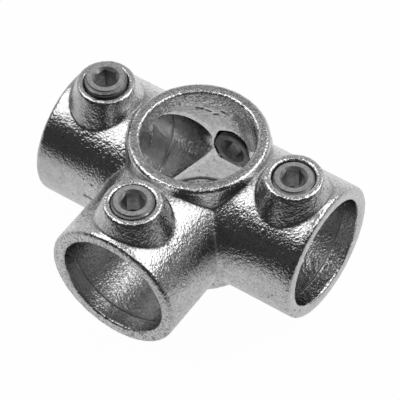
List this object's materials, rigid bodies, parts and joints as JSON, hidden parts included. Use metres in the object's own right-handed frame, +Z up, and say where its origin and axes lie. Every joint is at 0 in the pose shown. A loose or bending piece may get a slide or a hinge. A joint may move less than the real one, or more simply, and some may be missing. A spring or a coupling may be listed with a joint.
{
  "type": "three socket cross tube clamp",
  "caption": "Galvanised cast cross clamp for round tube: an upright through-socket crossed by level sockets at right angles, each gripped by a hollow hexagon set screw.",
  "frame": {"origin": "where the axes of the upright bore and of the level sockets cross", "axes": "+Z up the upright bore; the level sockets point along -X, -Y and +X; the upright's own screw enters from +Y"},
  "size_m": [0.115, 0.0919, 0.0669],
  "materials": {
    "galvanised_casting": "hot-dip galvanised casting, semi-gloss with fine cast grain",
    "set_screw": "plain steel with a thin dull plating"
  },
  "bodies": {
    "casting": {"cast_body": "galvanised_casting"},
    "left_screw": {"set_screw_left": "set_screw"},
    "front_screw": {"set_screw_front": "set_screw"},
    "right_screw": {"set_screw_right": "set_screw"},
    "upright_screw": {"set_screw_upright": "set_screw"}
  },
  "joints": [
    {"name": "left_screw_travel", "type": "slide", "parent": "casting", "child": "left_screw", "axis": [0, 0, -1], "range_m": [-0.0024, 0.0056]},
    {"name": "front_screw_travel", "type": "slide", "parent": "casting", "child": "front_screw", "axis": [0, 0, -1], "range_m": [-0.0043, 0.0037]},
    {"name": "right_screw_travel", "type": "slide", "parent": "casting", "child": "right_screw", "axis": [0, 0, -1], "range_m": [-0.0053, 0.0027]},
    {"name": "upright_screw_travel", "type": "slide", "parent": "casting", "child": "upright_screw", "axis": [0, -1, 0], "range_m": [-0.0055, 0.0025]}
  ]
}
